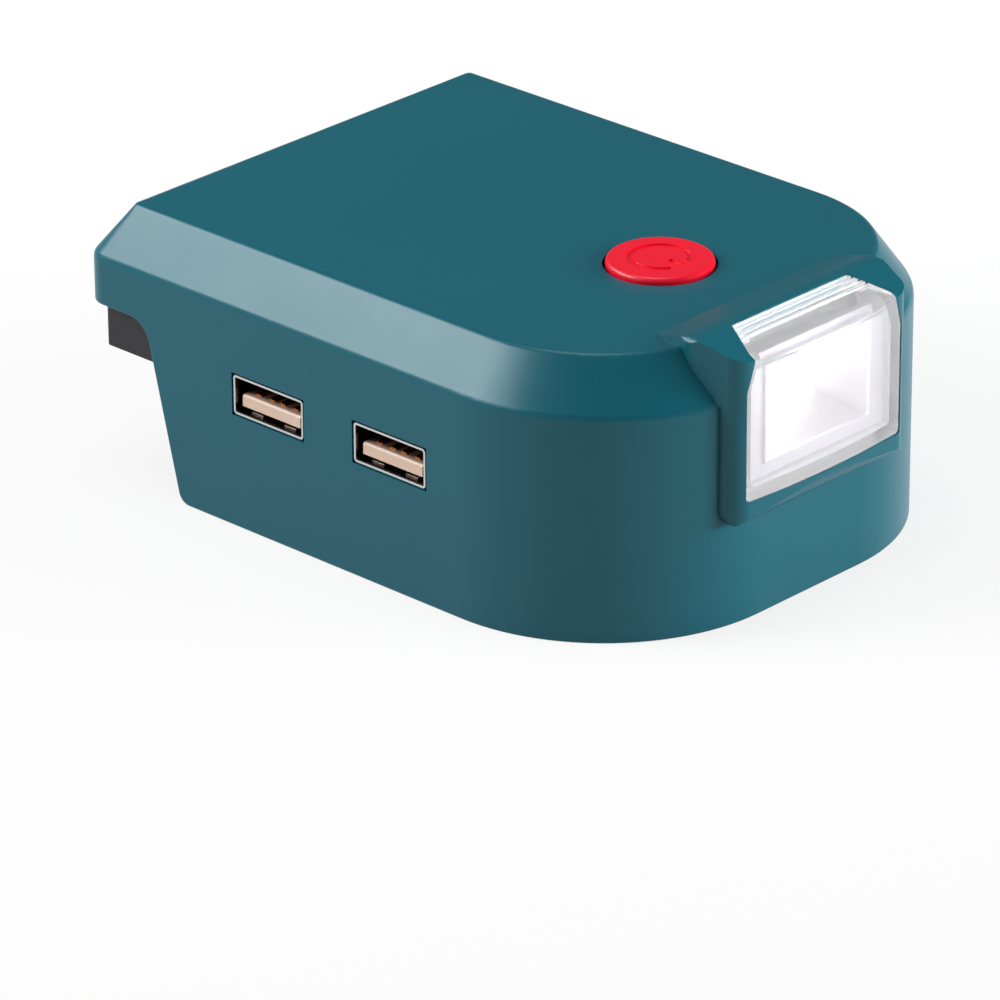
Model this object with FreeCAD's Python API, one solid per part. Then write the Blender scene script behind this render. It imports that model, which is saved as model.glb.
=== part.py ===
import FreeCAD, Part
import math
import os

V = FreeCAD.Vector

# Housing, outside. X is the width, with the USB ports on the -X side.
# -Y is the lamp end and +Y the end where the slide channel opens. Z is up.
WIDTH = 76.0
LENGTH = 98.6
HEIGHT = 39.3
BEVEL_RUN = 5.1
BEVEL_DROP = 7.1
FRONT_RADIUS = 27.7
BACK_RADIUS = 3.5
TOP_BACK_RADIUS = 0.8
INNER_RADIUS = 0.4
WALL = 2.4
TOP_EDGE_RADIUS = 0.9
LOW_EDGE_RADIUS = 1.6

# Rear cut-away of the side skirts, under the rear lip
LIP_HEIGHT = 25.2
SKIRT_CUT_AT_LIP = 11.7
SKIRT_CUT_AT_BASE = 17.9
SKIRT_TOP_RADIUS = 4.0
SKIRT_FOOT_RADIUS = 2.0
SKIRT_EDGE_RADIUS = 0.3

# Lamp pod on the front
POD_PROUD = 3.0
POD_HALF_WIDTH = 17.4
POD_BOW = 1.0
POD_FLARE_ANGLE = 15.5
POD_FLARE_IN = 5.2
POD_CREASE_IN = 11.8
POD_APEX_IN = 4.8
POD_RISE = 1.8
POD_BROW_DROP = 2.5
POD_HEIGHT = 26.2
POD_SIDE_RADIUS = 3.0
POD_SHOULDER_RADIUS = 1.3
POD_FOOT_RADIUS = 3.4
POD_LOW_CORNER_RADIUS = 2.2
POD_APEX_RADIUS = 6.0
POD_BROW_RADIUS = 2.4

# Lamp window, lens, reflector and lamp board
LENS_HALF_WIDTH = 15.2
LENS_BROW_HALF_WIDTH = 13.95
LENS_TOP_HALF_WIDTH = 11.3
LENS_HEIGHT = 22.5
LENS_SHOULDER_DROP = 6.8
LENS_BROW_DROP = 2.9
LENS_BROW_IN = 1.35
LENS_BACK_IN = 4.1
LENS_WALL = 1.5
LENS_RECESS = 0.12
LENS_CORNER = 0.6
LENS_STEPS = 3
LENS_STEP_PITCH = 0.9
LENS_STEP_WIDTH = 0.4
LENS_STEP_DEPTH = 0.35
REFLECTOR_HALF_WIDTH = 10.1
REFLECTOR_HEIGHT = 13.4
REFLECTOR_TOP_DROP = 5.1
REFLECTOR_TAPER = 3.4
REFLECTOR_WALL = 1.0
REFLECTOR_BEAD = 0.4
REFLECTOR_LIP = 0.05
LAMP_BOARD_IN = 8.7
LAMP_BOARD_THICK = 1.6
LAMP_BOARD_HALF_WIDTH = 16.0
LAMP_BOARD_HEIGHT = 13.8
LAMP_BOARD_TOP_DROP = 6.3
LAMP_POST_WIDTH = 4.4
LAMP_POST_DEPTH = 5.0
LAMP_CHIP_SIZE = 2.8
LAMP_CHIP_PITCH = 4.2
LAMP_CHIP_ROWS = 3.2
LAMP_CHIP_THICK = 0.7

# Push button and the switch under it
BUTTON_IN = 27.0
BUTTON_DIAMETER = 14.7
BUTTON_PROUD = 0.9
BUTTON_GAP = 0.4
BUTTON_TRAVEL = 0.8
BUTTON_EDGE_RADIUS = 0.7
FLANGE_WIDTH = 1.5
FLANGE_THICK = 1.3
STEM_DIAMETER = 4.6
SYMBOL_RADIUS = 4.05
SYMBOL_LINE = 1.0
SYMBOL_DEPTH = 0.25
SWITCH_SIZE = 6.2
SWITCH_HEIGHT = 3.6
SWITCH_WALL = 1.0
PLUNGER_DIAMETER = 3.2
PLUNGER_PROUD = 1.3
PLUNGER_LENGTH = 2.7
SWITCH_BOARD_LENGTH = 32.0
SWITCH_BOARD_DEPTH = 12.0
SWITCH_BOARD_THICK = 1.2
SWITCH_POST_OFFSET = 12.6
SWITCH_POST_DIAMETER = 5.4
SYMBOL_GAP = 3.2
SYMBOL_BAR_START = 1.5
SYMBOL_BAR_END = 4.8
DOME_RISE = 0.3
DOME_THICK = 0.12
LINK_DIAMETER = 0.75
LINK_PLACES = (6.0, 8.5)
LINK_EDGE_INSET = 1.5

# USB receptacles, type A
USB_REAR_IN = 35.3
USB_PITCH = 22.65
USB_HEIGHT = 19.7
USB_SHELL_WIDTH = 13.1
USB_SHELL_HEIGHT = 5.7
USB_SHELL_LENGTH = 14.0
USB_SHELL_WALL = 0.3
USB_SHELL_RADIUS = 0.5
USB_SHELL_INNER_RADIUS = 0.25
USB_RECESS = 0.1
USB_INSERT_GAP = 0.08
USB_WINDOW_GAP = 0.28
USB_ROOT_LENGTH = 4.0
USB_TONGUE_RISE = 0.82
USB_TONGUE_THICK = 1.7
USB_TONGUE_WIDTH = 10.9
USB_TONGUE_LENGTH = 9.1
USB_TONGUE_CHAMFER = 0.25
USB_CONTACT_WIDTH = 1.0
USB_CONTACT_THICK = 0.2
USB_CONTACT_LENGTH = 8.0
USB_CONTACT_OFFSETS = (-3.5, -1.0, 1.0, 3.5)

# Base tray with the slide channel under it
TRAY_GAP = 0.3
TRAY_THICK = 2.0
TRAY_FOOT = 1.0
REAR_FLOOR_RISE = 5.8
REAR_STEP_IN = 18.3
REAR_BLOCK_INSET = 2.0
REAR_BLOCK_END_IN = 1.9
REAR_BLOCK_RADIUS = 0.8
CHANNEL_FRONT_IN = 21.3
RAIL_BOTTOM = 4.5
RAIL_THICK = 2.5
RAIL_PROUD = 3.0
RAIL_FRONT_STEP = 3.0
LATCH_WIDTH = 24.0
LATCH_DEPTH = 6.0
LATCH_HEIGHT = 4.4
LATCH_WALL = 1.5

# Blade terminals at the channel's end
TERMINAL_SPACING = 27.0
TERMINAL_THICK = 0.8
TERMINAL_LENGTH = 13.0
TERMINAL_BOTTOM = 5.6
BLOCK_HALF_WIDTH = 19.5
BLOCK_DEPTH = 6.0
BLOCK_BOTTOM = 4.2
BLOCK_PEG_DIAMETER = 3.0
BLOCK_PEG_SPACING = 16.0
TERMINAL_FIT = 0.06
TERMINAL_TAB = 3.0
TERMINAL_TIP_RADIUS = 2.0
BLOCK_EDGE_RADIUS = 0.8

# Main board and its components
BOARD_THICK = 1.6
BOARD_FRONT_IN = 27.3
BOARD_NOSE_MARGIN = 2.0
BOARD_REAR_IN = 28.4
BOARD_RIGHT = 24.0
BOARD_POST_DIAMETER = 5.0
BOARD_POST_LEFT_IN = 7.0
BOARD_POST_IN = 4.2
SOLDER_PROUD = 1.2
BOARD_EDGE_GAP = 0.3
BOARD_CLEARANCE = 0.65
INDUCTOR_X = 6.0
INDUCTOR_FROM_FRONT = 16.0
INDUCTOR_DIAMETER = 12.0
INDUCTOR_HEIGHT = 7.0
INDUCTOR_FLANGE = 1.5
INDUCTOR_WAIST_IN = 1.5
WINDING_GAP = 0.1
WINDING_RECESS = 0.3
CAPACITOR_DIAMETER = 8.0
CAPACITOR_HEIGHT = 11.5
CAPACITOR_EDGE = 0.6
INPUT_CAPACITOR_X = -10.0
INPUT_CAPACITORS_FROM_FRONT = (14.0, 25.0)
OUTPUT_CAPACITOR_X = 16.0
OUTPUT_CAPACITOR_FROM_REAR = 11.0
CHIP_X = 6.0
CHIP_FROM_FRONT = 29.0
CHIP_LENGTH = 5.0
CHIP_WIDTH = 4.0
CHIP_HEIGHT = 1.5
CHIP_STANDOFF = 0.1
LEG_PITCH = 1.27
LEG_WIDTH = 0.4
LEG_THICK = 0.3
LEG_REACH = 1.0
PORT_CHIP_GAP = 2.4
PORT_CHIP_SIZE = 3.0
PORT_CHIP_HEIGHT = 1.1
FUSE_WIDTH = 3.2
FUSE_LENGTH = 6.0
FUSE_HEIGHT = 2.2
FUSE_FROM_FRONT = 7.0
LEAD_DIAMETER = 1.5
LEAD_BEND = 4.0
LEAD_OFFSET = 3.0
LEAD_DROP = 3.0
LEAD_INSET = 1.6

# Screws
HOUSING_SCREW = dict(shank=2.9, length=9.0, head=5.4, head_height=1.9)
SMALL_SCREW = dict(shank=2.0, length=4.6, head=3.8, head_height=1.3)
SCREW_HOLE_GAP = 0.15
SCREW_POINT = 1.0
SCREW_HEAD_ROUND = 0.45
SCREW_TURN = 20
SCREW_SLOT_REACH = 0.28
SCREW_SLOT_WIDTH = 0.06
BOSS_DIAMETER = 7.4
BOSS_SIDE_INSET = 8.6
BOSS_REAR_IN = 24.3
BOSS_FRONT_IN = 25.0
BOSS_HEIGHT = 5.4
BOARD_NOTCH_GAP = 1.0

# Small general values: a close fit, a length past everything, an overlap for joins and cuts,
# and how near two places must be to count as one
FIT = 0.15
NEAR = 0.01
BIG = 200.0
ROOT = 0.5
PAST = 1.0

# Places worked out from the sizes above
BACK = (LENGTH + POD_PROUD - LENS_RECESS) / 2
FRONT = BACK - LENGTH
SIDE = WIDTH / 2
INNER_SIDE = SIDE - WALL
CEILING = HEIGHT - WALL
TRAY_SIDE = INNER_SIDE - TRAY_GAP
BOARD_TOP = USB_HEIGHT - USB_SHELL_HEIGHT / 2
BOARD_BOTTOM = BOARD_TOP - BOARD_THICK
TRAY_TOP = BOARD_BOTTOM - BOARD_CLEARANCE
TRAY_FLOOR = TRAY_TOP - TRAY_THICK
REAR_FLOOR = TRAY_FLOOR + REAR_FLOOR_RISE
REAR_TOP = REAR_FLOOR + TRAY_THICK
BOSS_SEAT = TRAY_FLOOR + BOSS_HEIGHT
REAR_STEP = BACK - REAR_STEP_IN
CHANNEL_SIDE = TRAY_SIDE - TRAY_THICK
CHANNEL_FRONT = FRONT + CHANNEL_FRONT_IN
BOARD_FRONT = FRONT + BOARD_FRONT_IN
BOARD_REAR = BACK - BOARD_REAR_IN
BUTTON_Y = FRONT + BUTTON_IN
BUTTON_TOP = HEIGHT + BUTTON_PROUD
FLANGE_TOP = CEILING - FIT
FLANGE_BOTTOM = FLANGE_TOP - FLANGE_THICK
FLANGE_DIAMETER = BUTTON_DIAMETER + 2 * (BUTTON_GAP + FLANGE_WIDTH)
STEM_BOTTOM = FLANGE_BOTTOM - BUTTON_TRAVEL - FIT
PLUNGER_TOP = STEM_BOTTOM - FIT / 2
SWITCH_TOP = PLUNGER_TOP - PLUNGER_PROUD
SWITCH_BOTTOM = SWITCH_TOP - SWITCH_HEIGHT
POD_APEX_HEIGHT = HEIGHT + POD_RISE
POD_BROW_HEIGHT = POD_APEX_HEIGHT - POD_BROW_DROP
POD_BOTTOM = POD_APEX_HEIGHT - POD_HEIGHT
LENS_SHOULDER = POD_APEX_HEIGHT - LENS_SHOULDER_DROP
LENS_BOTTOM = POD_APEX_HEIGHT - LENS_HEIGHT
LENS_BROW = POD_APEX_HEIGHT - LENS_BROW_DROP
REFLECTOR_TOP = POD_APEX_HEIGHT - REFLECTOR_TOP_DROP
REFLECTOR_BOTTOM = REFLECTOR_TOP - REFLECTOR_HEIGHT
LAMP_BOARD_TOP = POD_APEX_HEIGHT - LAMP_BOARD_TOP_DROP
LAMP_BOARD_BOTTOM = LAMP_BOARD_TOP - LAMP_BOARD_HEIGHT
LAMP_BOARD_BACK = FRONT + LAMP_BOARD_IN
LAMP_BOARD_FRONT = LAMP_BOARD_BACK - LAMP_BOARD_THICK
TERMINAL_Y = CHANNEL_FRONT + BLOCK_DEPTH / 2
BOARD_NOSE = TERMINAL_Y - TERMINAL_TAB / 2 - BOARD_NOSE_MARGIN
USB_CENTRES = (BACK - USB_REAR_IN, BACK - USB_REAR_IN - USB_PITCH)
PORT_CHIP_X = -SIDE + USB_RECESS + USB_SHELL_LENGTH + PORT_CHIP_GAP + PORT_CHIP_SIZE / 2
BOSS_X = SIDE - BOSS_SIDE_INSET
BOSSES = [(sx * BOSS_X, y) for sx in (-1, 1) for y in (BACK - BOSS_REAR_IN, FRONT + BOSS_FRONT_IN)]
BOARD_POSTS = [(x, y) for x in (-BOARD_RIGHT + BOARD_POST_LEFT_IN, BOARD_RIGHT - BOARD_POST_IN)
               for y in (BOARD_FRONT + BOARD_POST_IN, BOARD_REAR - BOARD_POST_IN)]


def rounded_wire(points, radii):
    """Closed wire through the points, each corner turned by an arc of its radius."""
    count = len(points)
    starts, ends, middles = [], [], []
    for i in range(count):
        corner = points[i]
        before = (points[i - 1] - corner).normalize()
        after = (points[(i + 1) % count] - corner).normalize()
        half = before.getAngle(after) / 2
        cut = radii[i] / math.tan(half)
        bisector = (before + after).normalize()
        starts.append(corner + before * cut)
        ends.append(corner + after * cut)
        middles.append(corner + bisector * (radii[i] / math.sin(half) - radii[i]))
    edges = []
    for i in range(count):
        if radii[i] > 0:
            edges.append(Part.Arc(starts[i], middles[i], ends[i]).toShape())
        edges.append(Part.LineSegment(ends[i], starts[(i + 1) % count]).toShape())
    return Part.Wire(edges)


def prism(points, radii, direction):
    """Solid swept from a rounded outline along a direction."""
    return Part.Face(rounded_wire(points, radii)).extrude(direction)


def block(x0, x1, y0, y1, z0, z1):
    return Part.makeBox(x1 - x0, y1 - y0, z1 - z0, V(x0, y0, z0))


def rod(diameter, x, y, z0, z1):
    return Part.makeCylinder(diameter / 2, z1 - z0, V(x, y, z0))


def plan_wire(inset, z, front_radius, back_radius):
    """Plan outline of the housing, drawn in by an inset, at height z."""
    x = SIDE - inset
    front, back = FRONT + inset, BACK - inset
    corners = [V(-x, front, z), V(x, front, z), V(x, back, z), V(-x, back, z)]
    return rounded_wire(corners, [front_radius, front_radius, back_radius, back_radius])


def housing_form(inset, bottom, drop):
    """Bevelled body of the housing, drawn in by an inset and lowered by drop at the top."""
    knee = HEIGHT - BEVEL_DROP - drop / 2
    radius = FRONT_RADIUS - inset
    back_radius = max(BACK_RADIUS - inset, INNER_RADIUS)
    low = Part.Face(plan_wire(inset, bottom, radius, back_radius)).extrude(V(0, 0, knee - bottom))
    cap = Part.makeLoft([plan_wire(inset, knee, radius, back_radius),
                         plan_wire(inset + BEVEL_RUN, HEIGHT - drop, radius - BEVEL_RUN,
                                   min(TOP_BACK_RADIUS, back_radius))], True, True)
    return low.fuse(cap).removeSplitter()


def soften(shape, height, radius):
    """Round every edge that lies wholly at one height."""
    box_edges = [e for e in shape.Edges
                 if abs(e.BoundBox.ZMin - height) < NEAR and abs(e.BoundBox.ZMax - height) < NEAR]
    return shape.makeFillet(radius, box_edges)


def pod_form(inset):
    """Lamp pod: side profile, plan and front view swept through one another."""
    front = FRONT - POD_PROUD + inset
    crease = FRONT + POD_CREASE_IN
    bottom, top = POD_BOTTOM + inset, POD_APEX_HEIGHT - inset
    x = -BIG / 2
    side = prism([V(x, crease, HEIGHT - inset), V(x, FRONT + POD_APEX_IN, top),
                  V(x, front, POD_BROW_HEIGHT - inset), V(x, front, bottom), V(x, crease, bottom)],
                 [0, POD_APEX_RADIUS, POD_BROW_RADIUS, POD_FOOT_RADIUS, 0], V(BIG, 0, 0))
    half = POD_HALF_WIDTH - inset
    corner = front + POD_BOW
    bow = Part.Arc(V(-half, corner, 0), V(0, front, 0), V(half, corner, 0)).toShape()
    rest = Part.makePolygon([V(half, corner, 0), V(half, crease, 0),
                             V(-half, crease, 0), V(-half, corner, 0)])
    plan = Part.Face(Part.Wire([bow] + rest.Edges)).extrude(V(0, 0, BIG))
    upright = [e for e in plan.Edges
               if e.BoundBox.ZLength > BIG - PAST and e.BoundBox.YMax < crease - PAST]
    plan = plan.makeFillet(POD_SIDE_RADIUS, upright)
    middle = side.common(plan).common(pod_face(half, bottom, top))
    lean = math.radians(POD_FLARE_ANGLE)
    start_x = half - POD_SIDE_RADIUS * (1 - math.cos(lean)) - NEAR
    start_y = corner + POD_SIDE_RADIUS * (1 - math.sin(lean) - math.sin(POD_BOW / half))
    widest = FRONT + POD_FLARE_IN
    wide = start_x + (widest - start_y) * math.tan(lean)
    z = HEIGHT - BEVEL_DROP
    flare = prism([V(-start_x, start_y, z), V(start_x, start_y, z), V(wide, widest, z), V(half, crease, z),
                   V(-half, crease, z), V(-wide, widest, z)],
                  [0, 0, POD_SIDE_RADIUS, 0, 0, POD_SIDE_RADIUS], V(0, 0, BIG))
    return middle.fuse(side.common(flare).common(pod_face(wide, bottom, top))).removeSplitter()


def pod_face(half, bottom, top):
    """Outline of the pod seen from the front, as a bar along Y."""
    y = -BIG / 2
    low, high = POD_LOW_CORNER_RADIUS, POD_SHOULDER_RADIUS
    return prism([V(-half, y, bottom), V(half, y, bottom), V(half, y, top), V(-half, y, top)],
                 [low, low, high, high], V(0, BIG, 0))


def rear_cut(back_off):
    """Space behind and below the rear lip, where the side skirts are cut away."""
    below, beyond = -SKIRT_FOOT_RADIUS, BACK + SKIRT_CUT_AT_LIP
    lean = (SKIRT_CUT_AT_BASE - SKIRT_CUT_AT_LIP) / LIP_HEIGHT
    foot = BACK - SKIRT_CUT_AT_BASE + back_off
    x = -BIG / 2
    return prism([V(x, foot, 0), V(x, BACK - SKIRT_CUT_AT_LIP + back_off, LIP_HEIGHT),
                  V(x, beyond, LIP_HEIGHT), V(x, beyond, below),
                  V(x, foot + below * lean, below)],
                 [0, SKIRT_TOP_RADIUS, 0, 0, 0], V(BIG, 0, 0))


def window_prism(grow, back):
    """Lamp window: its sides lean in above the shoulder, and over the brow they draw in towards the back."""
    half = LENS_HALF_WIDTH + grow
    brow_half = LENS_BROW_HALF_WIDTH + grow
    top_half = LENS_TOP_HALF_WIDTH + grow
    bottom = LENS_BOTTOM - grow
    y = FRONT - 2 * POD_PROUD
    corner = LENS_CORNER
    face = prism([V(-half, y, bottom), V(half, y, bottom), V(half, y, LENS_SHOULDER),
                  V(brow_half, y, LENS_BROW), V(-brow_half, y, LENS_BROW), V(-half, y, LENS_SHOULDER)],
                 [corner, corner, corner, 0, 0, corner], V(0, back - y, 0))
    brow = FRONT - LENS_BROW_IN
    roof = prism([V(-brow_half, y, LENS_BROW), V(brow_half, y, LENS_BROW),
                  V(brow_half, brow, LENS_BROW), V(top_half, back, LENS_BROW),
                  V(-top_half, back, LENS_BROW), V(-brow_half, brow, LENS_BROW)],
                 [0] * 6, V(0, 0, POD_RISE + LENS_BROW_DROP))
    return face.fuse(roof).removeSplitter()


def soften_skirt(shell):
    """Break the sharp outer edge of the skirts where they are cut away under the rear lip."""
    edges = []
    first = BACK - SKIRT_CUT_AT_BASE - SKIRT_FOOT_RADIUS - ROOT
    for e in shell.Edges:
        box = e.BoundBox
        outside = min(abs(abs(x) - SIDE) for x in (box.XMin, box.XMax)) < NEAR and box.XLength < NEAR
        on_cut = box.ZMax < LIP_HEIGHT + NEAR and box.YMin > first
        if outside and on_cut and box.ZLength > ROOT:
            edges.append(e)
    return shell.makeFillet(SKIRT_EDGE_RADIUS, edges)


def upper_shell():
    """Teal upper housing: bevelled shell with the lamp pod, ports and screw bosses."""
    body = housing_form(0, 0, 0)
    body = soften(body, HEIGHT, TOP_EDGE_RADIUS)
    body = soften(body, HEIGHT - BEVEL_DROP, LOW_EDGE_RADIUS)
    body = body.fuse(pod_form(0)).removeSplitter()
    half = POD_HALF_WIDTH - WALL
    pod_hollow = pod_form(WALL).fuse(block(-half, half, FRONT, FRONT + POD_CREASE_IN + WALL,
                                           POD_BOTTOM + WALL, CEILING - PAST))
    shell = body.cut(housing_form(WALL, -PAST, WALL)).cut(pod_hollow).cut(rear_cut(0))
    foot = BACK - SKIRT_CUT_AT_BASE
    corner_edges = [e for e in shell.Edges
                    if abs(e.BoundBox.YMin - foot) < NEAR and abs(e.BoundBox.YMax - foot) < NEAR
                    and e.BoundBox.ZMax < NEAR]
    shell = shell.makeFillet(SKIRT_FOOT_RADIUS, corner_edges)
    shell = soften_skirt(shell)
    within = housing_form(WALL / 2, 0, WALL / 2)
    for x, y in BOSSES:
        shell = shell.fuse(rod(BOSS_DIAMETER, x, y, BOSS_SEAT, CEILING + ROOT).common(within))
    for x, y, z in switch_screw_points():
        shell = shell.fuse(rod(SWITCH_POST_DIAMETER, x, y, z, CEILING + ROOT))
    for x, y, z in lamp_screw_points():
        shell = shell.fuse(block(x - LAMP_POST_WIDTH / 2, x + LAMP_POST_WIDTH / 2, y, y + LAMP_POST_DEPTH,
                                 LAMP_BOARD_BOTTOM, CEILING + ROOT))
    for x, y in BOSSES:
        shell = shell.cut(rod(HOUSING_SCREW["shank"] + 2 * SCREW_HOLE_GAP, x, y, BOSS_SEAT - PAST,
                              BOSS_SEAT + HOUSING_SCREW["length"]))
    small = SMALL_SCREW["shank"] + 2 * SCREW_HOLE_GAP
    for x, y, z in switch_screw_points():
        shell = shell.cut(rod(small, x, y, z, z + SMALL_SCREW["length"]))
    for x, y, z in lamp_screw_points():
        shell = shell.cut(Part.makeCylinder(small / 2, SMALL_SCREW["length"], V(x, y, z), V(0, 1, 0)))
    shell = shell.cut(rod(BUTTON_DIAMETER + 2 * BUTTON_GAP, 0, BUTTON_Y, CEILING - PAST, HEIGHT + PAST))
    shell = shell.cut(window_prism(FIT, FRONT + LENS_BACK_IN + FIT))
    for y in USB_CENTRES:
        w = USB_SHELL_WIDTH / 2 + USB_WINDOW_GAP
        h = USB_SHELL_HEIGHT / 2 + USB_WINDOW_GAP
        shell = shell.cut(block(-SIDE - PAST, -INNER_SIDE + PAST, y - w, y + w,
                                USB_HEIGHT - h, USB_HEIGHT + h))
    return shell.removeSplitter()


def mirrored(shape):
    """The same shape on the other side of the housing."""
    return shape.mirror(V(0, 0, 0), V(1, 0, 0))


def tray_plan(z0, z1, side):
    """Slab of the tray: the housing's plan drawn in to the given half width."""
    inset = SIDE - side
    return Part.Face(plan_wire(inset, z0, FRONT_RADIUS - inset, INNER_RADIUS)).extrude(V(0, 0, z1 - z0))


def base_tray():
    """Black base: channel floor, side rails, front apron and raised rear floor."""
    floor = tray_plan(TRAY_FLOOR, TRAY_TOP, TRAY_SIDE).common(
        block(-SIDE, SIDE, CHANNEL_FRONT - TRAY_THICK, REAR_STEP + TRAY_THICK, 0, HEIGHT))
    apron = tray_plan(TRAY_FOOT, TRAY_FOOT + TRAY_THICK, TRAY_SIDE).common(
        block(-SIDE, SIDE, FRONT, CHANNEL_FRONT, 0, HEIGHT))
    stop = tray_plan(TRAY_FOOT, TRAY_TOP, TRAY_SIDE).common(
        block(-SIDE, SIDE, CHANNEL_FRONT - TRAY_THICK, CHANNEL_FRONT, 0, HEIGHT))
    tray = floor.fuse([apron, stop])
    rear_end = BACK - REAR_BLOCK_END_IN
    wall = block(CHANNEL_SIDE, TRAY_SIDE, CHANNEL_FRONT - TRAY_THICK, REAR_STEP + TRAY_THICK,
                 TRAY_FOOT, TRAY_TOP)
    rail = block(CHANNEL_SIDE - RAIL_PROUD, CHANNEL_SIDE, CHANNEL_FRONT + RAIL_FRONT_STEP, REAR_STEP,
                 RAIL_BOTTOM, RAIL_BOTTOM + RAIL_THICK)
    tray = tray.fuse([wall, rail, mirrored(wall), mirrored(rail)])
    tray = tray.common(tray_plan(0, HEIGHT, TRAY_SIDE))
    tray = tray.cut(rear_cut(-WALL / 3).cut(block(-SIDE, SIDE, FRONT, BACK, TRAY_FLOOR, HEIGHT)))
    step = block(-TRAY_SIDE, TRAY_SIDE, REAR_STEP, REAR_STEP + TRAY_THICK, TRAY_FLOOR, LIP_HEIGHT - PAST)
    rear = block(-TRAY_SIDE, TRAY_SIDE, REAR_STEP, rear_end, REAR_FLOOR, LIP_HEIGHT - FIT)
    edge = SIDE - REAR_BLOCK_INSET
    wide = block(-edge, edge, REAR_STEP, rear_end, REAR_FLOOR, LIP_HEIGHT - FIT).common(rear_cut(TRAY_GAP))
    corners = [e for e in wide.Edges if e.BoundBox.YMin > rear_end - NEAR
               and (e.BoundBox.ZMax < REAR_FLOOR + NEAR or e.BoundBox.ZLength > PAST)]
    rear = rear.common(block(-TRAY_SIDE, TRAY_SIDE, REAR_STEP, rear_end - REAR_BLOCK_RADIUS, 0, HEIGHT))
    rear = rear.fuse(wide.makeFillet(REAR_BLOCK_RADIUS, corners))
    scoop = block(-TRAY_SIDE + TRAY_THICK, TRAY_SIDE - TRAY_THICK, REAR_STEP + TRAY_THICK,
                  rear_end - TRAY_THICK, REAR_TOP, LIP_HEIGHT + PAST)
    tray = tray.fuse([step, rear]).cut(scoop)
    half = LATCH_WIDTH / 2
    cup = block(-half - LATCH_WALL, half + LATCH_WALL, REAR_STEP - LATCH_DEPTH - LATCH_WALL,
                REAR_STEP + TRAY_THICK, TRAY_FLOOR, TRAY_FLOOR + LATCH_HEIGHT + LATCH_WALL)
    latch_space = block(-half, half, REAR_STEP - LATCH_DEPTH, REAR_STEP, TRAY_FLOOR - PAST,
                        TRAY_FLOOR + LATCH_HEIGHT)
    tray = tray.fuse(cup).cut(latch_space)
    for x, y in BOSSES:
        tray = tray.fuse(rod(BOSS_DIAMETER, x, y, TRAY_FLOOR, BOSS_SEAT))
    for x, y in BOSSES:
        head_seat = BOSS_SEAT - TRAY_THICK
        loose = 4 * SCREW_HOLE_GAP
        tray = tray.cut(rod(HOUSING_SCREW["shank"] + loose, x, y, TRAY_FLOOR - PAST, BOSS_SEAT + PAST))
        tray = tray.cut(rod(HOUSING_SCREW["head"] + loose, x, y, TRAY_FLOOR - PAST, head_seat))
    for x, y in BOARD_POSTS:
        tray = tray.fuse(rod(BOARD_POST_DIAMETER, x, y, TRAY_FLOOR, BOARD_BOTTOM))
        tray = tray.cut(rod(SMALL_SCREW["shank"] + 2 * SCREW_HOLE_GAP, x, y, TRAY_FLOOR + FIT,
                            BOARD_BOTTOM + PAST))
    for x in (-TERMINAL_SPACING / 2, TERMINAL_SPACING / 2):
        tray = tray.cut(terminal_slot(x, TRAY_FLOOR - PAST, TRAY_TOP + PAST))
    for x in (-BLOCK_PEG_SPACING / 2, BLOCK_PEG_SPACING / 2):
        tray = tray.cut(rod(BLOCK_PEG_DIAMETER + FIT, x, TERMINAL_Y, TRAY_FLOOR - PAST, TRAY_TOP + PAST))
    return tray.removeSplitter()


def terminal_slot(x, z0, z1):
    """Slot that a terminal's tab goes up through."""
    half = TERMINAL_THICK / 2 + TERMINAL_FIT
    reach = TERMINAL_TAB / 2 + TERMINAL_FIT
    return block(x - half, x + half, TERMINAL_Y - reach, TERMINAL_Y + reach, z0, z1)


def terminal(x):
    """Stamped blade: it points along the channel, and its tab is soldered into the board."""
    y0 = TERMINAL_Y - TERMINAL_TAB / 2
    half = TERMINAL_THICK / 2
    tip = CHANNEL_FRONT + BLOCK_DEPTH + TERMINAL_LENGTH
    top = TRAY_FLOOR - PAST
    blade = prism([V(x - half, y0, TERMINAL_BOTTOM), V(x - half, tip, TERMINAL_BOTTOM),
                   V(x - half, tip, top), V(x - half, y0, top)],
                  [0, TERMINAL_TIP_RADIUS, TERMINAL_TIP_RADIUS, 0], V(TERMINAL_THICK, 0, 0))
    tab = block(x - half, x + half, y0, y0 + TERMINAL_TAB, top - PAST, BOARD_TOP + SOLDER_PROUD)
    return blade.fuse(tab).removeSplitter()


def terminal_block():
    """Black holder that carries both blades against the end of the channel."""
    y1 = CHANNEL_FRONT + BLOCK_DEPTH
    holder = block(-BLOCK_HALF_WIDTH, BLOCK_HALF_WIDTH, CHANNEL_FRONT, y1, BLOCK_BOTTOM, TRAY_FLOOR)
    upright = [e for e in holder.Edges if e.BoundBox.ZLength > PAST and e.BoundBox.YMin > y1 - PAST]
    holder = holder.makeFillet(BLOCK_EDGE_RADIUS, upright)
    for x in (-BLOCK_PEG_SPACING / 2, BLOCK_PEG_SPACING / 2):
        holder = holder.fuse(rod(BLOCK_PEG_DIAMETER, x, TERMINAL_Y, TRAY_FLOOR - PAST, TRAY_TOP))
    for x in (-TERMINAL_SPACING / 2, TERMINAL_SPACING / 2):
        half = TERMINAL_THICK / 2 + TERMINAL_FIT
        start = TERMINAL_Y - TERMINAL_TAB / 2 - TERMINAL_FIT
        holder = holder.cut(block(x - half, x + half, start, y1 + PAST,
                                  TERMINAL_BOTTOM - TERMINAL_FIT, TRAY_FLOOR + PAST))
    return holder.removeSplitter()


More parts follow.
